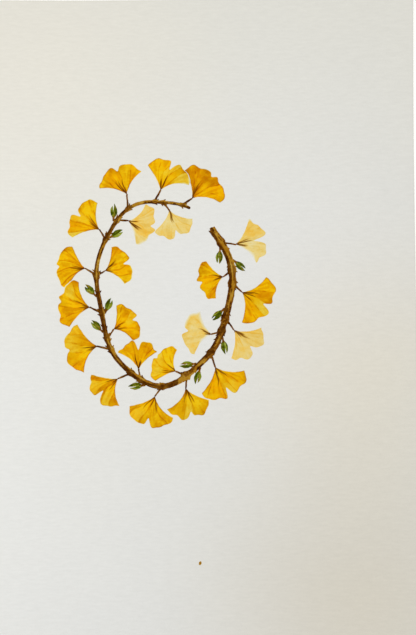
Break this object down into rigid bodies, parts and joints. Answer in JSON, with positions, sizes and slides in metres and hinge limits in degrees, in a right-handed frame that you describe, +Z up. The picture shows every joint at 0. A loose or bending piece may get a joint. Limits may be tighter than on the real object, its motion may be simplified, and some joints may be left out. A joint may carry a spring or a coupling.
{
  "type": "watercolour painting on paper",
  "caption": "Unframed sheet of off-white watercolour paper, lying face up with softly curled corners, painted with an open oval wreath of golden fan-shaped leaves.",
  "frame": {"origin": "on the surface the sheet lies on, under the middle of the sheet", "axes": "+X to the picture's right, +Y to the picture's top, +Z up out of the painted face"},
  "size_m": [0.2794, 0.381, 0.0101],
  "materials": {
    "paper": "matte",
    "yellow_wash": "matte",
    "brown_wash": "matte",
    "green_wash": "matte"
  },
  "bodies": {
    "root": {"paper_sheet": "paper", "painted_twig": "brown_wash", "painted_leaf_01": "yellow_wash", "painted_leaf_02": "yellow_wash", "painted_leaf_03": "yellow_wash", "painted_leaf_04": "yellow_wash", "painted_leaf_05": "yellow_wash", "painted_leaf_06": "yellow_wash", "painted_leaf_07": "yellow_wash", "painted_leaf_08": "yellow_wash", "painted_leaf_09": "yellow_wash", "painted_leaf_10": "yellow_wash", "painted_leaf_11": "yellow_wash", "painted_leaf_12": "yellow_wash", "painted_leaf_13": "yellow_wash", "painted_leaf_14": "yellow_wash", "painted_leaf_15": "yellow_wash", "painted_leaf_16": "yellow_wash", "painted_leaf_17": "yellow_wash", "painted_leaf_18": "yellow_wash", "painted_leaf_19": "yellow_wash", "painted_leaf_20": "yellow_wash", "painted_leaf_21": "yellow_wash", "painted_leaf_22": "yellow_wash", "painted_bud_01": "green_wash", "painted_bud_02": "green_wash", "painted_bud_03": "green_wash", "painted_bud_04": "green_wash", "painted_bud_05": "green_wash", "painted_bud_06": "green_wash", "painted_bud_07": "green_wash", "painted_bud_08": "green_wash", "painted_bud_09": "green_wash", "painted_bud_10": "green_wash", "painted_bud_11": "green_wash", "painted_bud_12": "green_wash", "painted_speck": "brown_wash"}
  },
  "joints": []
}
